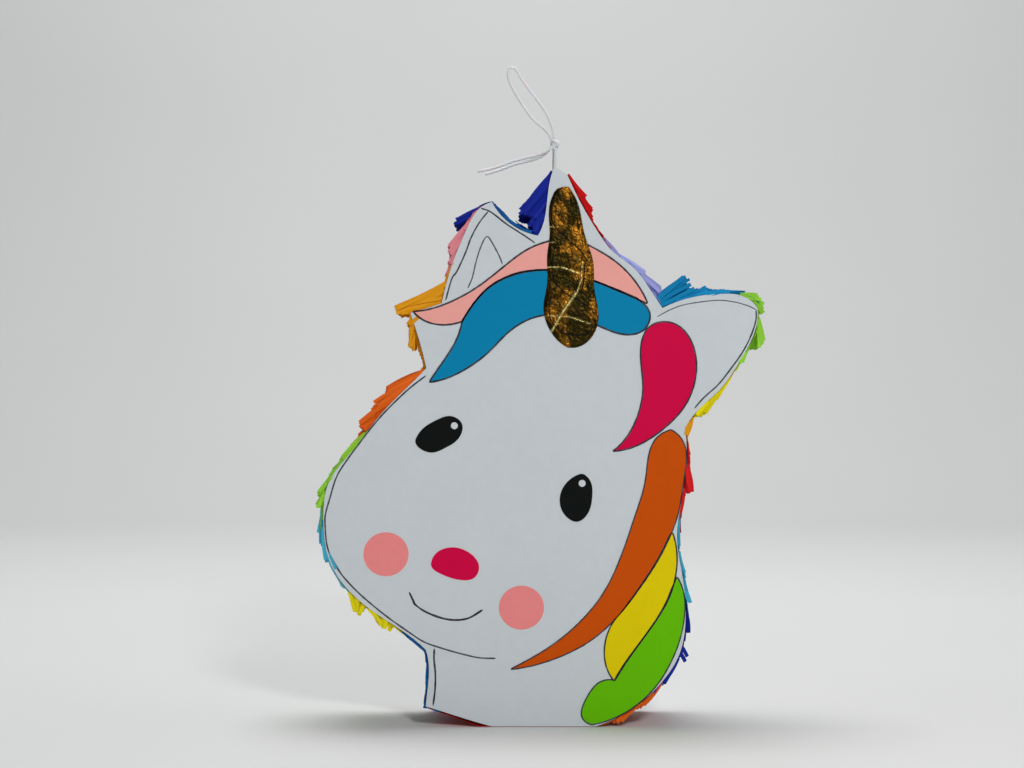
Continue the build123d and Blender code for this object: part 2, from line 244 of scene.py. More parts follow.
def darker(colour, share):
    return (*[c * share for c in colour[:3]], 1)


# ---------------------------------------------------------------- finishes


def backdrop_paper():
    finish = Finish("backdrop_paper", 0.9)
    where = finish.place()
    cloud = finish.noise(where, 1.3, 2.0)
    finish.feed("Base Color", finish.mix(cloud, shade(226, 227, 225), shade(233, 233, 233)))
    return finish.material


def white_paper():
    """Sheet paper with a faint cloudy formation and fine tooth."""
    finish = Finish("white_paper", 0.72)
    where = finish.place()
    cloud = finish.noise(where, 160, 4.0, 0.62)
    patch = finish.noise(where, 14, 2.0)
    tone = (cloud * 0.6) + (patch * 0.4)
    finish.feed("Base Color", finish.mix(tone, shade(204, 211, 215), shade(219, 225, 228)))
    tooth = finish.noise(where, 2600, 2.0)
    wave = finish.noise(where, 55, 2.0)
    finish.bump(tooth * 0.25 + wave, 0.18, 0.0005)
    return finish.material


def coloured_paper(name, colour, roughness=0.6):
    """Smooth dyed paper."""
    finish = Finish(name, roughness)
    where = finish.place()
    cloud = finish.noise(where, 190, 4.0, 0.6)
    finish.feed("Base Color", finish.mix(cloud, darker(colour, 0.93), colour))
    tooth = finish.noise(where, 2400, 2.0)
    wave = finish.noise(where, 45, 2.0)
    finish.bump(tooth * 0.3 + wave, 0.2, 0.0005)
    finish.fixed(Specular_IOR_Level=0.08)
    return finish.material


def crepe(name, colour):
    """Crinkled crepe: fine wrinkles across the strand with painted shade along them, and strands that differ a
    little in tone.
    """
    finish = Finish(name, 0.78)
    where = finish.place()
    wrinkle = finish.noise(finish.stretch(where, (1, 0.25, 1)), 1500, 3.0, 0.65)
    tone = finish.attribute("tone")
    pale = (*[min(1.0, c * 1.25 + 0.015) for c in colour[:3]], 1)
    lit = finish.mix(tone, darker(colour, 0.8), pale)
    # painted shade: darker where the wrinkle noise is high, following the bumped wrinkles
    finish.feed("Base Color", finish.mix(wrinkle.step(0.35, 0.7) * 0.22, lit, darker(colour, 0.68)))
    finish.bump(wrinkle, 0.45, 0.0003)
    finish.fixed(Specular_IOR_Level=0.1)
    return finish.material


def marker_ink():
    finish = Finish("marker_ink", 0.5)
    where = finish.place()
    streak = finish.noise(where, 700, 3.0)
    depth = finish.attribute("tone")
    tone = (streak.step(0.25, 0.8) * 0.25) + (depth * 0.85)
    finish.feed("Base Color", finish.mix(tone.step(0.2, 0.95), shade(104, 110, 122), shade(16, 16, 32)))
    return finish.material


def gold_foil():
    """Gold foil: brown and gold patches are a painted reflection of a dark room and bright spots, dark streaks are
    painted shade in its wrinkles, and its creases carry a painted highlight.
    """
    finish = Finish("gold_foil", 0.3)
    where = finish.place()
    glint = finish.attribute("glint")
    mottle = finish.noise(where, 330, 5.0, 0.7, 1.2)
    patch = finish.noise(finish.stretch(where, (1.2, 1, 1)), 46, 4.0, 0.6, 0.8)
    streak = finish.noise(finish.stretch(where, (1.8, 1, 1)), 150, 3.0, 0.6).step(0.56, 0.66)
    # painted reflection: patches of dark brown and gold stand in for the dark room and bright spots that the foil
    # mirrors
    mirrored_room_patches = (patch * 0.72 + mottle * 0.28).step(0.47, 0.6)
    base = finish.mix(mirrored_room_patches, shade(46, 38, 14), shade(142, 94, 26))
    # painted shade: dark streaks stand in for the shade in the foil's fine wrinkles
    base = finish.mix(streak * 0.7, base, shade(34, 25, 8))
    # painted highlight: the glint attribute turns the foil pale and less metallic along its folds
    finish.feed("Base Color", finish.mix(glint, base, shade(250, 232, 140)))
    finish.feed("Metallic", 1 - glint * 0.75)
    finish.feed("Roughness", mottle * 0.35 + 0.2)
    cells = {"Vector": where, "Scale": 260}
    crackle = finish.node("ShaderNodeTexVoronoi", {"feature": "DISTANCE_TO_EDGE"}, cells)
    finish.bump(crackle.math("MINIMUM", 0.25) * 2 + mottle * 0.6, 0.5, 0.0007)
    return finish.material


def corrugated_board():
    """Brown kraft board: fibre flecks on its faces and, on its cut edges, flutes whose hollows are painted dark as
    painted shade.
    """
    finish = Finish("corrugated_board", 0.85)
    where = finish.place()
    x, _, z = finish.split(where)
    fibre = finish.noise(finish.stretch(where, (1, 1, 7)), 260, 4.0, 0.65)
    fleck = finish.noise(where, 1700, 2.0).step(0.62, 0.72)
    face = finish.mix(fibre.step(0.25, 0.8), shade(160, 120, 78), shade(196, 156, 108))
    face = finish.mix(fleck * 0.35, face, shade(104, 74, 44))
    # painted shade: dark stripes on the cut edges for the shade in the flute hollows
    flute_hollow_shade = ((x + z) * (math.tau / 0.007)).sine() * 0.5 + 0.5
    facing = finish.split(finish.node("ShaderNodeNewGeometry", out="True Normal"))[1]
    edge = 1 - facing.math("ABSOLUTE").step(0.3, 0.6)
    finish.feed("Base Color", finish.mix(edge * flute_hollow_shade.step(0.35, 0.8) * 0.6, face, shade(74, 50, 28)))
    rib = (x * (math.tau / 0.007)).sine() * 0.5
    finish.bump(fibre * 0.3 + rib * 0.5, 0.18, 0.0008)
    return finish.material


def paper_tape():
    """Cream masking tape with fine cross wrinkles, painted darker in their hollows as painted shade."""
    finish = Finish("paper_tape", 0.55)
    where = finish.place()
    wrinkle = finish.noise(finish.stretch(where, (1.0, 1.0, 0.18)), 900, 3.0, 0.6)
    cloud = finish.noise(where, 60, 3.0)
    # tone: painted shade in the wrinkle hollows, plus cloudy variation in the tape itself
    tone = wrinkle * 0.5 + cloud * 0.4
    finish.feed("Base Color", finish.mix(tone, shade(206, 184, 132), shade(236, 220, 176)))
    finish.bump(wrinkle, 0.5, 0.0003)
    return finish.material


def cotton():
    finish = Finish("cotton", 0.9)
    where = finish.place()
    fibre = finish.noise(where, 2200, 4.0, 0.7)
    # painted shade: the tone attribute holds the ply crests, so the grooves between plies are painted darker; the
    # fibre noise is the cotton's own tone
    lay = finish.attribute("tone")
    tone = fibre.step(0.3, 0.75) * 0.45 + lay * 0.55
    finish.feed("Base Color", finish.mix(tone, shade(226, 229, 232), shade(252, 252, 253)))
    finish.bump(fibre, 0.4, 0.0003)
    finish.fixed(Subsurface_Weight=0.35, Subsurface_Scale=0.002)
    finish.fixed(Specular_IOR_Level=0.15)
    return finish.material


def stick_wood():
    finish = Finish("stick_wood", 0.6)
    where = finish.place()
    grain = finish.noise(finish.stretch(where, (1, 0.06, 1)), 900, 4.0, 0.6)
    finish.feed("Base Color", finish.mix(grain.step(0.3, 0.7), shade(168, 126, 78), shade(214, 176, 122)))
    finish.bump(grain, 0.3, 0.0003)
    return finish.material


CREPE_COLOURS = {
    "red": shade(214, 14, 16),
    "lilac": shade(168, 172, 240),
    "cerulean": shade(0, 134, 188),
    "lime": shade(150, 214, 58),
    "yellow": shade(240, 220, 0),
    "amber": shade(242, 160, 12),
    "cyan": shade(66, 176, 206),
    "navy": shade(8, 34, 150),
    "blue": shade(8, 94, 164),
    "orange": shade(232, 100, 14),
    "teal": shade(120, 200, 214),
    "pink": shade(238, 142, 152),
}
PAPER_COLOURS = {
    "paper_pink": shade(255, 176, 166),
    "paper_blue": shade(0, 138, 186),
    "paper_crimson": shade(222, 0, 72),
    "paper_orange": shade(214, 84, 0),
    "paper_yellow": shade(240, 216, 0),
    "paper_green": shade(108, 202, 0),
    "paper_rose": shade(252, 146, 146),
}


def make_finishes():
    made = {
        "white_paper": white_paper(),
        "gold_foil": gold_foil(),
        "corrugated_board": corrugated_board(),
        "paper_tape": paper_tape(),
        "cotton_string": cotton(),
        "stick_wood": stick_wood(),
        "marker_ink": marker_ink(),
        "paper_black": coloured_paper("paper_black", shade(11, 16, 15), 0.5),
    }
    for name, colour in CREPE_COLOURS.items():
        made["crepe_" + name] = crepe("crepe_" + name, colour)
    for name, colour in PAPER_COLOURS.items():
        made[name] = coloured_paper(name, colour)
    return made


# ---------------------------------------------------------------- mesh helpers


def finished(name, bm, finish, nodes=(), body="root", smooth=True):
    """Turns a bmesh into a piece that rides on a body and stands for its CAD nodes."""
    mesh = bpy.data.meshes.new(name)
    for face in bm.faces:
        face.smooth = smooth
    bm.to_mesh(mesh)
    bm.free()
    piece = bpy.data.objects.new(name, mesh)
    bpy.context.scene.collection.objects.link(piece)
    mesh.materials.append(finish)
    if body:
        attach(piece, body)
    if nodes:
        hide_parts(*nodes)
    return piece


def outline_of(node):
    """The front edge of a flat CAD piece as points in order, clockwise seen from the front."""
    bm = bmesh.new()
    bm.from_mesh(frame["nodes"][node].data)
    bmesh.ops.remove_doubles(bm, verts=bm.verts, dist=1e-6)
    bm.normal_update()
    front = min(v.co.y for v in bm.verts)
    links = {}
    for edge in bm.edges:
        if max(v.co.y for v in edge.verts) > front + 1e-6:
            continue
        facing = [abs(face.normal.y) > 0.5 for face in edge.link_faces]
        if facing.count(True) == 1:
            first, second = edge.verts
            links.setdefault(first, []).append(second)
            links.setdefault(second, []).append(first)
    here = next(iter(links))
    chain, before = [here], None
    while True:
        ahead = [v for v in links[here] if v is not before]
        if not ahead or ahead[0] is chain[0]:
            break
        before, here = here, ahead[0]
        chain.append(here)
    points = [Vector((v.co.x, 0, v.co.z)) for v in chain]
    bm.free()
    area = sum(a.x * b.z - b.x * a.z for a, b in zip(points, points[1:] + points[:1]))
    return points if area < 0 else points[::-1]


class Edge:
    """A closed outline that can be walked by distance."""

    def __init__(self, points, step=1.0 * MM):
        loop = points + points[:1]
        run = [0.0]
        for a, b in zip(loop, loop[1:]):
            run.append(run[-1] + (b - a).length)
        self.length = run[-1]
        count = round(self.length / step)
        self.step = self.length / count
        self.points = []
        index = 0
        for number in range(count):
            goal = number * self.step
            while run[index + 1] < goal:
                index += 1
            share = (goal - run[index]) / max(run[index + 1] - run[index], 1e-9)
            self.points.append(loop[index].lerp(loop[index + 1], share))

    def at(self, distance):
        place = (distance / self.step) % len(self.points)
        low = int(place)
        return self.points[low].lerp(self.points[(low + 1) % len(self.points)], place - low)

    def along(self, distance, reach=2.0 * MM):
        """The direction of travel, smoothed over a reach each way."""
        return (self.at(distance + reach) - self.at(distance - reach)).normalized()

    def outward(self, distance, reach=2.0 * MM):
        ahead = self.along(distance, reach)
        return Vector((-ahead.z, 0, ahead.x))

    def nearest(self, x, z):
        goal = Vector((x * MM, 0, z * MM))
        best = min(range(len(self.points)), key=lambda i: (self.points[i] - goal).length_squared)
        return best * self.step


def smooth_path(points, step=0.8 * MM):
    """A smooth line through given points, with even small steps."""
    ends = [points[0] * 2 - points[1]] + list(points) + [points[-1] * 2 - points[-2]]
    path = []
    for a, b, c, d in zip(ends, ends[1:], ends[2:], ends[3:]):
        count = max(2, round((c - b).length / step))
        for number in range(count):
            t = number / count
            curve = (2 * a - 5 * b + 4 * c - d) * t * t + (3 * b - a - 3 * c + d) * t**3
            path.append(0.5 * (2 * b + (c - a) * t + curve))
    path.append(points[-1].copy())
    return path


def ribbon(bm, path, width, depth_of, tone=1.0, closed=False, seed=0.0):
    """A flat pen stroke along a path, raised a little over the surface that depth_of gives."""
    layer = bm.verts.layers.float.get("tone") or bm.verts.layers.float.new("tone")
    count = len(path)
    stroke = bmesh.ops.create_grid(bm, x_segments=count - 1 if not closed else count, y_segments=1, size=1)
    size = count if closed else count - 1
    for v in stroke["verts"]:
        number = round((v.co.x + 1) / 2 * size)
        side = 1 if v.co.y > 0 else -1
        here = path[number % count]
        after = path[(number + 1) % count] if closed else path[min(number + 1, count - 1)]
        before = path[number - 1] if closed or number else path[0]
        ahead = (after - before).normalized()
        across = Vector((-ahead.z, 0, ahead.x))
        press = 1 + 0.28 * noise.noise(Vector((here.x * 260, here.z * 260, seed)))
        if not closed:
            press *= min(1.0, 0.35 + min(number, size - number) * 0.35)
        spot = here + across * (side * width * press / 2)
        v.co = (spot.x, depth_of(spot.x, spot.z) - INK_HEIGHT, spot.z)
        v[layer] = tone * (0.85 + 0.3 * noise.noise(Vector((here.x * 90, here.z * 90, seed + 7))))
    if closed:
        bmesh.ops.remove_doubles(bm, verts=stroke["verts"], dist=1e-7)


def raise_strokes(bm):
    """Gives flat strokes a little body and closes them."""
    bmesh.ops.recalc_face_normals(bm, faces=bm.faces)
    for face in bm.faces:
        if face.normal.y > 0:
            face.normal_flip()
    bmesh.ops.solidify(bm, geom=bm.faces[:], thickness=INK_HEIGHT * 0.9)


# ---------------------------------------------------------------- string

HOLE = Vector((7.8, 0, 418.0)) * MM
LOOP = [
    (-1.2, 0.3, 23.6), (-2.2, 0, 28.8), (-7.4, 0.2, 35.6), (-16.2, 0.6, 42.2), (-23.6, 1.0, 52.6),
    (-30.4, 1.2, 63.6), (-35.2, 1.2, 73.2), (-35.8, 0.9, 82.0), (-30.2, 0.4, 83.0), (-25.6, 0, 74.0),
    (-19.0, -0.4, 65.4), (-12.0, -0.6, 56.2), (-6.0, -0.6, 47.6), (-2.0, -0.2, 38.4), (-0.4, 0.8, 31.5),
    (1.0, 1.5, 24.5),
]
TAIL_FRONT = [
    (-0.2, -1.6, 22.4), (-5.8, -2.4, 18.2), (-13.0, -2.1, 15.0), (-22.0, -1.8, 13.0), (-32.2, -1.6, 10.6),
    (-42.0, -1.2, 6.6), (-53.3, -1.0, 3.4), (-59.0, -1.0, 2.8),
]
TAIL_BACK = [
    (-1.0, 1.7, 23.2), (-6.0, 2.2, 17.4), (-11.0, 2.0, 13.6), (-20.0, 1.6, 11.0), (-32.2, 1.3, 8.1),
    (-42.0, 1.3, 3.8), (-53.3, 1.2, 0.8),
]
TURN = [
    (-0.3, 1.3, 21.0), (-0.5, 1.4, 10.0), (-0.3, 1.4, -4.5), (-0.1, 0, -15.9), (-0.1, 0, -24.1),
    (8.1, 0, -24.1), (8.1, 0, -15.9), (0.3, -1.4, -5.0), (0.1, -1.5, 9.6), (0.9, -1.3, 21.0),
]
STRING = 2.2 * MM


def route_line(route):
    """Points along the smooth line that a route's control points give."""
    data = bpy.data.curves.new("route", "CURVE")
    data.dimensions = "3D"
    data.resolution_u = 24
    spline = data.splines.new("NURBS")
    spline.points.add(len(route) - 1)
    for point, step in zip(spline.points, route):
        point.co = (*(HOLE + Vector(step) * MM), 1)
    spline.order_u = 3
    spline.use_endpoint_u = True
    bare = bpy.data.objects.new("route", data)
    mesh = bpy.data.meshes.new_from_object(bare)
    line = [v.co.copy() for v in mesh.vertices]
    bpy.data.meshes.remove(mesh)
    bpy.data.objects.remove(bare)
    bpy.data.curves.remove(data)
    return line


def even(line, step):
    """The same line with points an even step apart."""
    run = [0.0]
    for a, b in zip(line, line[1:]):
        run.append(run[-1] + (b - a).length)
    count = max(2, round(run[-1] / step))
    spaced, index = [], 0
    for number in range(count + 1):
        goal = run[-1] * number / count
        while index < len(line) - 2 and run[index + 1] < goal:
            index += 1
        share = (goal - run[index]) / max(run[index + 1] - run[index], 1e-9)
        spaced.append(line[index].lerp(line[index + 1], share))
    return spaced


def twisted(name, line, diameter, nodes, plies=3, lay=4.6 * MM):
    """A cord of twisted plies along a line."""
    bm = bmesh.new()
    layer = bm.verts.layers.float.new("tone")
    around, steps = 8 * plies, len(line) - 1
    bmesh.ops.create_grid(bm, x_segments=steps, y_segments=around, size=1)
    ahead = [(line[min(i + 1, steps)] - line[max(i - 1, 0)]).normalized() for i in range(steps + 1)]
    side = [ahead[0].orthogonal().normalized()]
    for direction in ahead[1:]:
        side.append((side[-1] - direction * side[-1].dot(direction)).normalized())
    travelled = [0.0]
    for a, b in zip(line, line[1:]):
        travelled.append(travelled[-1] + (b - a).length)
    for v in bm.verts:
        number = round((v.co.x + 1) / 2 * steps)
        turn = (v.co.y + 1) / 2 * math.tau
        twist = travelled[number] / lay * math.tau
        crest = abs(math.cos((turn * plies) / 2))
        where = Vector((math.cos(turn) * 2, math.sin(turn) * 2, travelled[number] * 900))
        fluff = noise.noise(where) * 0.06
        radius = diameter / 2 * (0.88 + 0.22 * crest + fluff)
        across = ahead[number].cross(side[number])
        angle = turn + twist
        v.co = line[number] + (side[number] * math.cos(angle) + across * math.sin(angle)) * radius
        # the crest share also goes to the shader as painted shade in the grooves between plies
        v[layer] = crest
    bmesh.ops.remove_doubles(bm, verts=bm.verts, dist=1e-6)
    bmesh.ops.holes_fill(bm, edges=bm.edges, sides=0)
    bmesh.ops.recalc_face_normals(bm, faces=bm.faces)
    return finished(name, bm, finishes["cotton_string"], nodes)


def knot_line():
    """An overhand knot pulled tight round the strings."""
    centre = HOLE + Vector((0.4, 0, 23.6)) * MM
    line = []
    for number in range(121):
        t = number / 120 * math.tau
        x = math.sin(t) + 2 * math.sin(2 * t)
        z = math.cos(t) - 2 * math.cos(2 * t)
        y = -math.sin(3 * t)
        line.append(centre + Vector((x * 0.95, y * 1.7, z * 1.25)) * MM)
    return line


def hanging_string():
    """The turn round the stick, the loop, its two tails and the knot that holds them."""
    routes = (TURN, LOOP, TAIL_FRONT, TAIL_BACK)
    turn, loop, front, back = (even(route_line(route), 0.4 * MM) for route in routes)
    knot = twisted("knot", knot_line(), STRING, ["string_knot"])
    pieces = [
        (twisted("turn_string", turn, STRING, ["string_turn"]), turn, 0.097, "object", []),
        (twisted("loop_string", loop, STRING, ["string_loop"]), loop, 0.141, "knot", [knot]),
        (twisted("tail_front", front, STRING, ["string_tail_front"], 4, 16 * MM), front, 0.063, "bare", []),
        (twisted("tail_back", back, STRING, ["string_tail_back"], 4, 16 * MM), back, 0.058, "bare", []),
    ]


# ---------------------------------------------------------------- marker lines


def drawn(points):
    return smooth_path([Vector((x * MM, 0, z * MM)) for x, z in points])


# Lines drawn on the white paper, with the pen's width in millimetres and how dark it is
LINES = [
    (
        [
            (-89.3, 263.6), (-100.5, 255), (-112, 244.5), (-124, 232), (-138, 214.5), (-151.5, 196),
            (-157, 186), (-161.3, 172), (-164.6, 160), (-165, 151.5), (-163, 134), (-155.3, 118.5),
            (-148, 109), (-137, 98), (-119.6, 83.6), (-103.7, 72.3), (-91, 64), (-77, 59), (-63, 55),
            (-49.5, 52), (-37, 51.5),
        ],
        1.2, 0.75,
    ),
    ([(-83, 59), (-83.3, 51), (-82.3, 40.5), (-82.5, 28.5), (-84, 16)], 1.4, 0.9),
    (
        [(-42.5, 387), (-49.5, 378), (-55.5, 367), (-59.6, 356), (-66, 342), (-70, 336), (-74.6, 320)],
        1.2, 0.75,
    ),
    ([(-48, 389), (-41, 386.5), (-28.5, 377), (-15.5, 368.6), (-7.5, 363)], 1.2, 0.8),
    (
        [
            (-58, 329), (-54.6, 337), (-52, 348), (-49, 358), (-45.5, 366), (-43.4, 367.7), (-41.3, 366),
            (-34.5, 353.6), (-32, 347),
        ],
        1.0, 0.6,
    ),
    ([(84, 307.7), (95, 313.5), (107, 317.3), (128, 320), (141, 319), (152, 316), (158.3, 313)], 0.8, 0.55),
    (
        [
            (158.3, 313), (158, 304.5), (154, 292.5), (148, 281), (139.5, 269), (130, 257), (119, 247),
            (112, 239),
        ],
        1.2, 0.75,
    ),
    (
        [
            (-102, 101.3), (-99, 95), (-97, 91.5), (-88.7, 86), (-76.5, 81.5), (-66, 80.3), (-56.7, 82),
            (-46.7, 88),
        ],
        1.5, 1.0,
    ),
]


def marker_lines():
    bm = bmesh.new()
    for number, (points, width, tone) in enumerate(LINES):
        ribbon(bm, drawn(points), width * MM, lambda x, z: PAPER_FRONT, tone, seed=number)
    raise_strokes(bm)
    finished("marker_lines", bm, finishes["marker_ink"])


def lock_outlines():
    """The pen line round each coloured lock, wandering along its edge."""
    locks = {
        "forelock_pink": 1.3, "forelock_blue": 1.3, "sidelock_crimson": 1.2, "mane_orange": 1.0,
        "mane_yellow": 1.1, "mane_green": 1.0,
    }
    bm = bmesh.new()
    for number, (node, width) in enumerate(locks.items()):
        edge = Edge(outline_of(node), 0.8 * MM)
        path = []
        for step in range(len(edge.points)):
            here = edge.points[step]
            stray = 0.25 + 0.55 * noise.noise(Vector((here.x * 30, here.z * 30, number * 5.3)))
            path.append(here + edge.outward(step * edge.step, 1.2 * MM) * (stray * MM))
        ribbon(bm, path, width * MM, lambda x, z: LOCK_FRONT, 0.95, closed=True, seed=number + 20)
    raise_strokes(bm)
    finished("lock_outlines", bm, finishes["marker_ink"])


# ---------------------------------------------------------------- foil horn

# Folds in the foil: two ends, half width, height and how bright its painted highlight is, in millimetres and
# shares
FOLDS = [
    ((0, 375.7), (9, 374.5), 0.35, 0.3, 0.7),
    ((2, 364), (8, 363), 0.35, 0.3, 0.6),
    ((0, 345), (13, 344.5), 0.35, 0.4, 1.0),
    ((13, 344.5), (25.5, 340), 0.35, 0.4, 0.9),
    ((0, 308.5), (18, 307.5), 0.3, 0.3, 0.6),
    ((18, 307.5), (34, 302.5), 0.3, 0.3, 0.6),
    ((28, 349), (27, 335), 0.3, 0.3, 0.7),
    ((27, 335), (23.5, 325), 0.4, 0.3, 0.7),
    ((23.2, 325.5), (13, 311), 0.9, 0.8, 0.9),
    ((13, 311), (4.5, 296), 0.7, 0.6, 0.8),
]
FOIL_SPIRALS = [
    [
        (7.5, 402), (5.2, 395.2), (4.5, 386.3), (6, 378), (11.2, 371.2), (18.7, 364.5), (26.2, 357.7),
        (32.2, 348.7),
    ],
    [(21.7, 395.2), (24, 384), (24.7, 372.7)],
    [
        (8.2, 363), (6, 354), (5.2, 344.2), (6.7, 335.2), (12.7, 327.7), (18.7, 323.2), (26.2, 319.5),
        (33.7, 314.2), (37.5, 309),
    ],
    [(30, 348.7), (29.2, 339), (28.5, 331.5), (26.2, 325.5)],
    [
        (4.5, 323.2), (3, 315), (3.7, 306.7), (7.5, 300.7), (12.7, 296.2), (18.7, 294.7), (26.2, 294),
        (32.2, 295.5), (35.2, 299.2),
    ],
]


def span(points, level):
    """The left and right ends of an outline at a height."""
    hits = []
    for a, b in zip(points, points[1:] + points[:1]):
        if (a.z - level) * (b.z - level) <= 0 and abs(a.z - b.z) > 1e-9:
            hits.append(a.x + (b.x - a.x) * (level - a.z) / (b.z - a.z))
    return (min(hits), max(hits)) if hits else None


def to_segment(x, z, start, end):
    a, b = Vector(start), Vector(end)
    here = Vector((x, z)) / MM
    share = max(0.0, min(1.0, (here - a).dot(b - a) / (b - a).length_squared))
    return (here - a - (b - a) * share).length


def crumple(x, z):
    """Facets of crushed foil, in millimetres."""
    height = 0.0
    for scale, size in ((95, 0.55), (230, 0.26)):
        where = Vector((x * scale, z * scale * 0.8, scale))
        gaps, centres = noise.voronoi(where)
        tilt = noise.cell_vector(centres[0] * 3.1)
        facet = (where - centres[0]).dot(Vector((tilt.x - 0.5, tilt.y - 0.5, 0)))
        border = min(1.0, (gaps[1] - gaps[0]) * 4)
        height += size * (facet * 1.6 * border + 0.5 * border)
    return height


def foil_horn():
    outline = outline_of("horn_foil")
    low, high = min(p.z for p in outline), max(p.z for p in outline)
    bm = bmesh.new()
    layer = bm.verts.layers.float.new("glint")
    across, up = 60, 176
    bmesh.ops.create_grid(bm, x_segments=across, y_segments=up, size=1)
    for v in bm.verts:
        u, w = (v.co.x + 1) / 2, (v.co.y + 1) / 2
        level = low + (high - low) * min(max(w, 0.002), 0.998)
        left, right = span(outline, level)
        x = left + (right - left) * u
        inside = min(u, 1 - u) * (right - left) / MM
        inside = min(inside, min(w, 1 - w) * (high - low) / MM)
        rim = min(1.0, inside / 3.0)
        rim = rim * rim * (3 - 2 * rim)
        lift = 0.12 + rim * (0.55 + crumple(x, level))
        glint = 0.0
        # each fold lifts the foil and paints a highlight along it into the glint attribute
        for start, end, half, tall, bright in FOLDS:
            near = math.exp(-((to_segment(x, level, start, end) / half) ** 2))
            broken = 0.55 + 0.9 * noise.noise(Vector((x * 900, level * 900, half)))
            lift += near * tall * rim
            glint = max(glint, near * bright * min(1.0, max(0.0, broken) * 1.5))
        v.co = (x, LOCK_FRONT - lift * MM, level)
        v[layer] = glint
    bmesh.ops.recalc_face_normals(bm, faces=bm.faces)
    for face in bm.faces:
        if face.normal.y > 0:
            face.normal_flip()
    tree = BVHTree.FromBMesh(bm)
    bmesh.ops.solidify(bm, geom=bm.faces[:], thickness=0.1 * MM)
    finished("foil_horn", bm, finishes["gold_foil"], ["horn_foil"])

    def surface(x, z):
        hit = tree.ray_cast(Vector((x, LOCK_FRONT - 0.02, z)), Vector((0, 1, 0)))[0]
        return hit.y if hit else LOCK_FRONT

    bm = bmesh.new()
    for number, points in enumerate(FOIL_SPIRALS):
        ribbon(bm, drawn(points), 0.9 * MM, surface, 0.9, seed=number + 40)
    raise_strokes(bm)
    finished("horn_spirals", bm, finishes["paper_black"])


# ---------------------------------------------------------------- crepe fringe

SILHOUETTE = Edge(outline_of("front_panel"))
STRAND_WIDTH = 2.4 * MM
FRINGE_ORIGIN = 0.35 * MM  # first layer of crepe over the board
FLOOR_GAP = 0.3 * MM  # no strand hangs lower than this over the floor
TUFT_LAYERS = 10  # from the front panel to the back one
TUFT_ROOM = 3 * MM  # a tuft's strand with less room than this runs on over the board instead
TUFT_OVERHANG = 0.8 * MM  # how far a tuft's strand may pass the outline of its fringe


def strand_shape():
    """One cut strand: length along X from 0 to 1, width along Y, thickness along Z."""
    bm = bmesh.new()
    bmesh.ops.create_grid(bm, x_segments=5, y_segments=1, size=0.5)
    bmesh.ops.translate(bm, verts=bm.verts, vec=(0.5, 0, 0))
    bmesh.ops.recalc_face_normals(bm, faces=bm.faces)
    bmesh.ops.solidify(bm, geom=bm.faces[:], thickness=1.0)
    mesh = bpy.data.meshes.new("strand")
    bm.to_mesh(mesh)
    bm.free()
    return mesh


STRAND = strand_shape()


def add_strand(bm, stations, widths, tone):
    """Lays one strand through stations, each a point, the way across it and the way off the board."""
    layer = bm.verts.layers.float["tone"]
    first = len(bm.verts)
    bm.from_mesh(STRAND)
    bm.verts.ensure_lookup_table()
    last = len(stations) - 1
    for index in range(first, len(bm.verts)):
        v = bm.verts[index]
        point, across, off = stations[round(v.co.x * last)]
        thick = 1 if v.co.z > -0.5 else -1
        width = widths[round(v.co.x * last)]
        v.co = point + across * (v.co.y * width) + off * (thick * CREPE / 2)
        v.co.z = max(v.co.z, FLOOR_GAP)
        v[layer] = tone


def hanging_strand(bm, dice, root, way, length, lift, y, lean):
    """A strand glued at root that follows the board in the way it hangs, and lifts towards its tip."""
    stations, widths = [], []
    twist = dice.uniform(-0.9, 0.9)
    curl = dice.uniform(0.2, 1.0)
    width = STRAND_WIDTH * dice.uniform(0.75, 1.15)
    for number in range(6):
        t = number / 5
        here = root + way * length * t
        off = SILHOUETTE.outward(here, 4 * MM)
        rise = FRINGE_ORIGIN + 0.25 * MM + lift * t**1.5 - lift * 0.25 * curl * t**5
        point = SILHOUETTE.at(here) + off * rise
        point.y = y + lean * t * t
        across = Vector((0, 1, 0)) * math.cos(twist * t) + off * math.sin(twist * t)
        normal = off * math.cos(twist * t) - Vector((0, 1, 0)) * math.sin(twist * t)
        stations.append((point, across, normal))
        widths.append(width * (1 - 0.25 * t))
    add_strand(bm, stations, widths, min(1.0, max(0.0, dice.gauss(0.5, 0.22))))


def room_ahead(outline, start, ahead):
    """How far a strand runs from start before it leaves the outline of its fringe."""
    furthest = 0.0
    for a, b in zip(outline, outline[1:] + outline[:1]):
        side, gap = b - a, a - start
        slope = ahead.x * side.z - ahead.z * side.x
        if abs(slope) < 1e-12:
            continue
        share = (gap.x * ahead.z - gap.z * ahead.x) / slope
        if 0 <= share <= 1:
            furthest = max(furthest, (gap.x * side.z - gap.z * side.x) / slope)
    return furthest


def heading(degrees):
    """A direction seen from the front: 0 to the right, 90 up."""
    return Vector((math.cos(math.radians(degrees)), 0, math.sin(math.radians(degrees))))


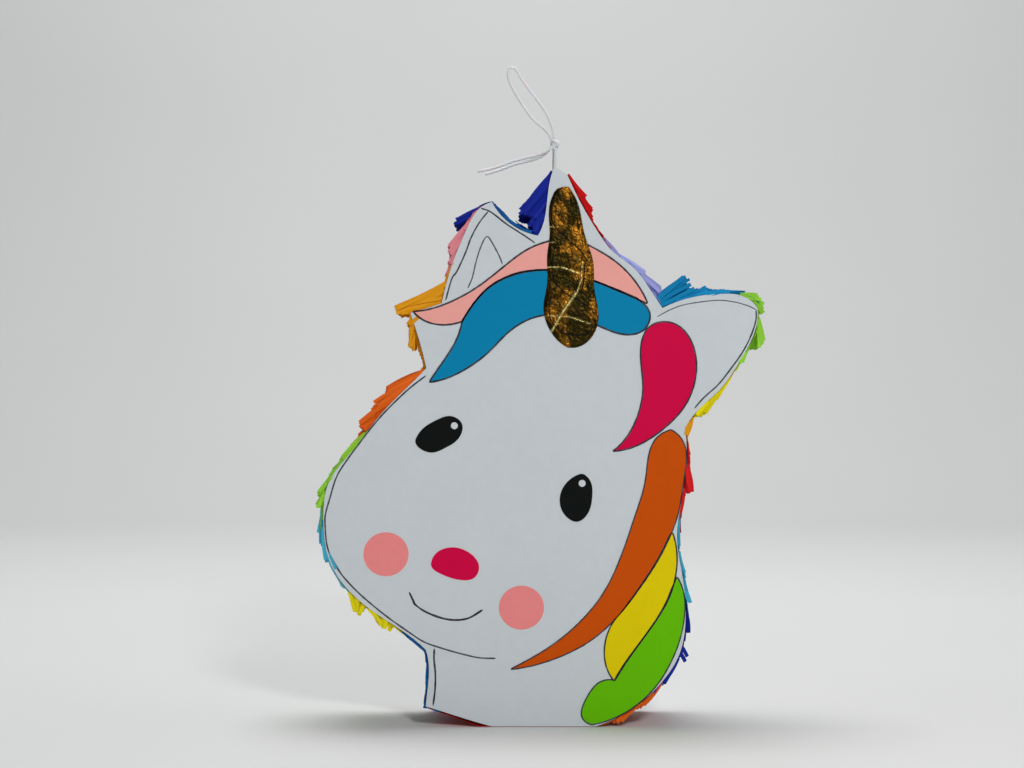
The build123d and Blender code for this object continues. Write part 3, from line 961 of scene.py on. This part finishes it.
def tuft(bm, dice, outline, edge, lengths, headings, count, y):
    """Cut strands side by side, glued to the board's edge and standing clear of it."""
    gap = (abs(edge[1] - edge[0]) + 2 * MM) / count
    width = min(max(gap * 1.5, 1.4 * MM), STRAND_WIDTH * 1.2)
    for number in range(count):
        share = number / max(count - 1, 1)
        here = edge[0] + (edge[1] - edge[0]) * share
        root = SILHOUETTE.at(here) + SILHOUETTE.outward(here) * FRINGE_ORIGIN
        ahead = heading(headings[0] + (headings[1] - headings[0]) * share + dice.gauss(0, 1.5))
        length = (lengths[0] + (lengths[1] - lengths[0]) * share) * MM
        room = room_ahead(outline, root, ahead)
        if room > TUFT_ROOM:
            length = min(length, room + TUFT_OVERHANG)
        length *= dice.uniform(0.9, 1.04)
        off = Vector((-ahead.z, 0, ahead.x))
        depth = y + dice.uniform(-0.5, 2.2) * MM
        drift = dice.uniform(-1.2, 1.2) * MM
        turn = dice.uniform(-0.5, 0.5)
        bow = dice.uniform(-0.04, 0.05) * length
        stations = []
        for place in range(6):
            t = place / 5
            point = root + ahead * (length * t) + off * (bow * math.sin(math.pi * t))
            point.y = depth + drift * t
            across = off * math.cos(turn * t) + Vector((0, 1, 0)) * math.sin(turn * t)
            stations.append((point, across, across.cross(ahead)))
        add_strand(bm, stations, [width] * 6, min(1.0, max(0.0, dice.gauss(0.5, 0.2))))


def backing(bm, begin, end):
    """The uncut edge of the crepe, glued flat round the board."""
    layer = bm.verts.layers.float["tone"]
    steps = max(2, round((end - begin) / (2.5 * MM)))
    made = bmesh.ops.create_grid(bm, x_segments=steps, y_segments=10, size=1)
    top, bottom = BAND_FRONT - 0.25 * MM, BAND_BACK + 0.25 * MM
    faces = set()
    for v in made["verts"]:
        here = begin + (end - begin) * (v.co.x + 1) / 2
        y = top + (bottom - top) * (v.co.y + 1) / 2
        ripple = 0.1 * noise.noise(Vector((here * 300, y * 300, 3))) * MM
        point = SILHOUETTE.at(here) + SILHOUETTE.outward(here) * (FRINGE_ORIGIN * 0.6 + ripple)
        v.co = (point.x, y, point.z)
        v[layer] = 0.25
        faces.update(v.link_faces)
    bmesh.ops.solidify(bm, geom=list(faces), thickness=0.12 * MM)


# Each length of fringe: colour, where it begins and ends, the way it hangs, strand length, lift and row pitch
FRINGES = {
    "fringe_red_horn": ("red", (16.5, 414.5), (41.5, 368.5), 1, 20, 4.0, 6.5),
    "fringe_lilac": ("lilac", (42.5, 367), (82, 324), 1, 17, 2.0, 6.5),
    "fringe_cerulean": ("cerulean", (83, 321), (145, 324.3), 1, 19, 9.0, 6.0),
    "fringe_lime_ear": ("lime", (146, 324), (148, 278), 1, 17, 2.6, 6.0),
    "fringe_yellow_nape": ("yellow", (147, 276), (113, 235), 1, 16, 3.6, 6.5),
    "fringe_amber_nape": ("amber", (111, 232), (105.8, 215), 1, 12, 3.4, 5.5),
    "fringe_red_mane": ("red", (105.5, 214), (101, 160), 1, 22, 4.6, 7.5),
    "fringe_cyan_mane": ("cyan", (101, 160), (104.8, 96), 1, 22, 3.8, 7.5),
    "fringe_navy_mane": ("navy", (104.8, 96), (88.5, 34.5), 1, 22, 4.0, 7.5),
    "fringe_orange_mane": ("orange", (88, 34), (46, 3.5), 1, 18, 3.6, 6.5),
    "fringe_blue_neck": ("blue", (-107, 72), (-89.5, 16.5), -1, 20, 3.4, 6.5),
    "fringe_yellow_jaw": ("yellow", (-146.5, 102), (-108, 73), -1, 18, 4.0, 6.5),
    "fringe_teal_muzzle": ("teal", (-160.5, 122), (-147, 102.5), -1, 14, 2.2, 6.5),
    "fringe_cyan_muzzle": ("cyan", (-165, 165), (-161, 123), -1, 20, 1.8, 7.0),
    "fringe_lime_face": ("lime", (-133, 222), (-165, 166), -1, 22, 5.0, 6.5),
    "fringe_orange_face": ("orange", (-91, 268), (-132, 223), -1, 24, 9.0, 6.0),
    "fringe_amber_forelock": ("amber", (-78, 318), (-91, 272), -1, 18, 5.0, 6.0),
    "fringe_amber_ear": ("amber", (-70, 345), (-77.5, 319), -1, 14, 4.5, 6.0),
    "fringe_pink_ear": ("pink", (-47, 390), (-70, 346), -1, 17, 6.0, 6.0),
    "fringe_navy_ear": ("navy", (-41, 393.5), (-47, 390), -1, 10, 4.0, 5.0),
    "fringe_blue_ear": ("blue", (-39, 393), (-12, 370.5), 1, 16, 1.8, 6.0),
    "fringe_navy_horn": ("navy", (5.6, 416.6), (-4.0, 370.5), -1, 26, 9.0, 6.0),
}


def fringe(node, dice):
    colour, start, finish, way, length, lift, pitch = FRINGES[node]
    bm = bmesh.new()
    bm.verts.layers.float.new("tone")
    begin, end = SILHOUETTE.nearest(*start), SILHOUETTE.nearest(*finish)
    travel = ((end - begin) * way) % SILHOUETTE.length
    if way > 0:
        backing(bm, begin, begin + travel)
    else:
        backing(bm, begin - travel, begin)
    rows = max(1, round(travel / (pitch * MM)))
    across = round((BAND_BACK - BAND_FRONT) / STRAND_WIDTH)
    for row in range(rows):
        root = begin + way * travel * row / rows
        for number in range(across):
            y = BAND_FRONT + (number + 0.5) * (BAND_BACK - BAND_FRONT) / across
            y += dice.uniform(-0.5, 0.5) * MM
            reach = length * MM * dice.uniform(0.72, 1.12)
            rise = lift * MM * dice.uniform(0.15, 1.0) ** 1.3 * 0.5
            lean = dice.uniform(-1.5, 1.5) * MM
            y_limit = min(max(y, BAND_FRONT + 1 * MM), BAND_BACK - 1 * MM)
            hanging_strand(bm, dice, root + dice.uniform(-1, 1) * MM, way, reach, rise, y_limit, lean)
    outline = outline_of(node)
    for layer in range(TUFT_LAYERS):
        y = BAND_FRONT + 0.4 * MM + (BAND_BACK - BAND_FRONT - 4 * MM) * layer / (TUFT_LAYERS - 1)
        for first, last, lengths, headings, count in TUFTS[node]:
            edge = (begin + way * travel * first, begin + way * travel * last)
            tuft(bm, dice, outline, edge, lengths, headings, count, y)
    slot = "crepe_" + colour
    finished(node.replace("fringe", "crepe"), bm, finishes[slot], [node], smooth=False)


# Tufts that stand clear of the board. Each is glued between two places on the board's edge, as shares of
# its fringe's run. Then the first and last strand: how long they are cut, which way they point, and how
# many strands there are.
TUFTS = {
    "fringe_navy_horn": [(0, 0.5, (40, 15), (232, 231), 16), (0.45, 0.85, (24, 10), (236, 240), 10)],
    "fringe_red_horn": [(0, 0.35, (32, 20), (307, 302), 5)],
    "fringe_lilac": [
        (0, 0.12, (18, 14), (312, 312), 3),
        (0.3, 0.5, (24, 14), (328, 325), 4),
        (0.62, 0.75, (24, 18), (322, 322), 3),
    ],
    "fringe_cerulean": [
        (0, 0.06, (28, 28), (38, 38), 4),
        (0.05, 0.35, (28, 25), (30, 18), 9),
        (0.3, 0.65, (25, 22), (18, 4), 9),
        (0.6, 0.95, (20, 10), (4, -8), 7),
    ],
    "fringe_lime_ear": [
        (0, 0.1, (17, 14), (2, -20), 4),
        (0.12, 0.22, (14, 10), (-35, -45), 3),
        (0.42, 0.52, (20, 18), (285, 275), 4),
        (0.8, 0.92, (14, 10), (250, 240), 3),
    ],
    "fringe_yellow_nape": [(0.3, 0.75, (34, 14), (238, 230), 6)],
    "fringe_amber_nape": [(0, 0.4, (18, 12), (252, 256), 3)],
    "fringe_red_mane": [
        (0, 0.15, (16, 12), (282, 275), 3),
        (0.27, 0.4, (24, 18), (285, 278), 4),
        (0.65, 0.72, (20, 18), (262, 262), 2),
    ],
    "fringe_cyan_mane": [
        (0, 0.08, (26, 20), (268, 268), 2),
        (0.45, 0.55, (18, 14), (284, 284), 2),
        (0.75, 0.85, (20, 16), (285, 285), 2),
    ],
    "fringe_navy_mane": [
        (0.05, 0.15, (26, 22), (278, 278), 2),
        (0.55, 0.62, (12, 10), (300, 300), 2),
        (0.68, 0.85, (20, 16), (242, 240), 4),
    ],
    "fringe_orange_mane": [(0.05, 0.25, (20, 16), (230, 225), 4), (0.4, 0.7, (22, 12), (222, 218), 5)],
    "fringe_blue_neck": [
        (0, 0.1, (22, 18), (322, 320), 4),
        (0.2, 0.3, (20, 16), (318, 310), 4),
        (0.45, 0.52, (22, 20), (272, 268), 3),
        (0.7, 0.77, (20, 18), (268, 264), 3),
    ],
    "fringe_yellow_jaw": [(0, 0.3, (20, 8), (286, 250), 9), (0.4, 0.85, (17, 6), (310, 240), 9)],
    "fringe_teal_muzzle": [(0, 0.2, (22, 18), (300, 302), 4)],
    "fringe_cyan_muzzle": [
        (0, 0.12, (28, 24), (262, 266), 3),
        (0.35, 0.45, (26, 22), (275, 277), 3),
        (0.7, 0.8, (20, 18), (296, 292), 3),
    ],
    "fringe_lime_face": [
        (0, 0.15, (28, 22), (226, 229), 5),
        (0.25, 0.4, (28, 22), (229, 232), 5),
        (0.5, 0.65, (26, 20), (233, 238), 5),
        (0.8, 0.9, (34, 28), (241, 244), 4),
    ],
    "fringe_orange_face": [
        (0, 0.2, (33, 24), (207, 214), 9),
        (0.18, 0.5, (34, 24), (210, 218), 9),
        (0.45, 0.8, (34, 22), (215, 223), 8),
    ],
    "fringe_amber_forelock": [
        (-0.25, 0.05, (42, 32), (207, 190), 12),
        (0.2, 0.3, (18, 14), (226, 236), 4),
        (0.3, 0.42, (27, 27), (260, 272), 9),
    ],
    "fringe_amber_ear": [(-0.4, -0.15, (26, 22), (254, 254), 3)],
    "fringe_pink_ear": [
        (0, 0.15, (22, 18), (235, 238), 3),
        (0.3, 0.55, (24, 18), (229, 240), 8),
        (0.65, 0.85, (28, 24), (240, 244), 6),
    ],
    "fringe_navy_ear": [(0.9, 1.5, (23, 22), (206, 214), 5)],
    "fringe_blue_ear": [
        (-0.05, 0.03, (26, 22), (308, 310), 2),
        (0.35, 0.45, (22, 18), (322, 325), 2),
        (0.7, 0.8, (18, 16), (340, 345), 2),
    ],
}


def all_fringes():
    for number, node in enumerate(FRINGES):
        fringe(node, random.Random(400 + number))


# ---------------------------------------------------------------- underside, tapes and carried-over pieces


def base_crepe():
    """Red crepe under the flat base, hanging a little away under the slant."""
    low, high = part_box("base_sheet")
    bm = bmesh.new()
    layer = bm.verts.layers.float.new("tone")
    begin, end = SILHOUETTE.nearest(38, 0.5), SILHOUETTE.nearest(-89.5, 15.5)
    bmesh.ops.create_grid(bm, x_segments=70, y_segments=24, size=1)
    slant = SILHOUETTE.nearest(-40, 0.5)
    for v in bm.verts:
        here = begin + (end - begin) * (v.co.x + 1) / 2
        y = low.y + (high.y - low.y) * (v.co.y + 1) / 2
        point = SILHOUETTE.at(here)
        share = max(0.0, (here - slant) / (end - slant))
        sag = math.sin(math.pi * min(1.0, share * 1.05) ** 0.8) * 2.9 * MM if share > 0 else 0
        sag *= 0.75 + 0.5 * noise.noise(Vector((here * 60, y * 90, 1)))
        ripple = noise.noise(Vector((here * 400, y * 250, 9))) * 0.3 * MM * min(1.0, share * 6)
        z = max(0.14 * MM, point.z - 0.22 * MM - sag + ripple)
        v.co = (point.x, y, z)
        v[layer] = 0.45 + 0.3 * noise.noise(Vector((here * 150, y * 60, 4)))
    bmesh.ops.recalc_face_normals(bm, faces=bm.faces)
    bmesh.ops.solidify(bm, geom=bm.faces[:], thickness=0.12 * MM)
    finished("base_crepe", bm, finishes["crepe_red"], ["base_sheet"])


def tape_sheet(name, x, z, y, nodes, body, lift=0.0, seed=1):
    """A strip of paper tape with slightly torn ends and small wrinkles; x and z are its ranges."""
    bm = bmesh.new()
    columns, rows = 60, 24
    bmesh.ops.create_grid(bm, x_segments=columns, y_segments=rows, size=1)
    for v in bm.verts:
        u, w = (v.co.x + 1) / 2, (v.co.y + 1) / 2
        height = z[0] + (z[1] - z[0]) * w
        torn = noise.noise(Vector((height * 900, u * 2, seed))) * 0.9 * MM
        place = x[0] + (x[1] - x[0]) * u + torn * (abs(u - 0.5) * 2) ** 8
        wrinkle = abs(noise.noise(Vector((place * 120, height * 300, seed)))) * 0.1 * MM
        v.co = (place, y + wrinkle + lift * (1 - w) ** 3, height)
    bmesh.ops.recalc_face_normals(bm, faces=bm.faces)
    for face in bm.faces:
        if face.normal.y < 0:
            face.normal_flip()
    bmesh.ops.solidify(bm, geom=bm.faces[:], thickness=0.08 * MM)
    return finished(name, bm, finishes["paper_tape"], nodes, body)


def tapes():
    joint = next(j for j in frame["joints"] if j["name"] == "hatch_hinge")
    hinge = Vector(joint["pos_m"])
    top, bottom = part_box("hinge_tape_fixed"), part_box("hinge_tape_flap")
    x = (bottom[0].x + 0.5 * MM, bottom[1].x - 0.5 * MM)
    piece = tape_sheet(
        "hinge_tape", x, (bottom[0].z, top[1].z), BACK_FACE + 0.12 * MM,
        ["hinge_tape_fixed", "hinge_tape_flap"], None, seed=3,
    )
    reach = Vector((0, 0, 1.2 * MM))
    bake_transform(piece, "root", "hatch", start=hinge + reach, end=hinge - reach)
    low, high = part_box("closing_tape")
    tape_sheet(
        "closing_tape_strip", (low.x, high.x), (low.z, high.z), BACK_FACE + 0.42 * MM, ["closing_tape"],
        "hatch", lift=0.2 * MM, seed=8,
    )


def dress_cad():
    """Gives every CAD node that stays in view the finish of its slot."""
    slots = {part["node"]: part["material_slot"] for part in frame["record"]["subparts"]}
    for node, piece in frame["nodes"].items():
        piece.data.materials.clear()
        piece.data.materials.append(finishes[slots[node]])


finishes = make_finishes()
camera()
hanging_string()
stage()
lights()
dress_cad()
marker_lines()
lock_outlines()
foil_horn()
all_fringes()
base_crepe()
tapes()
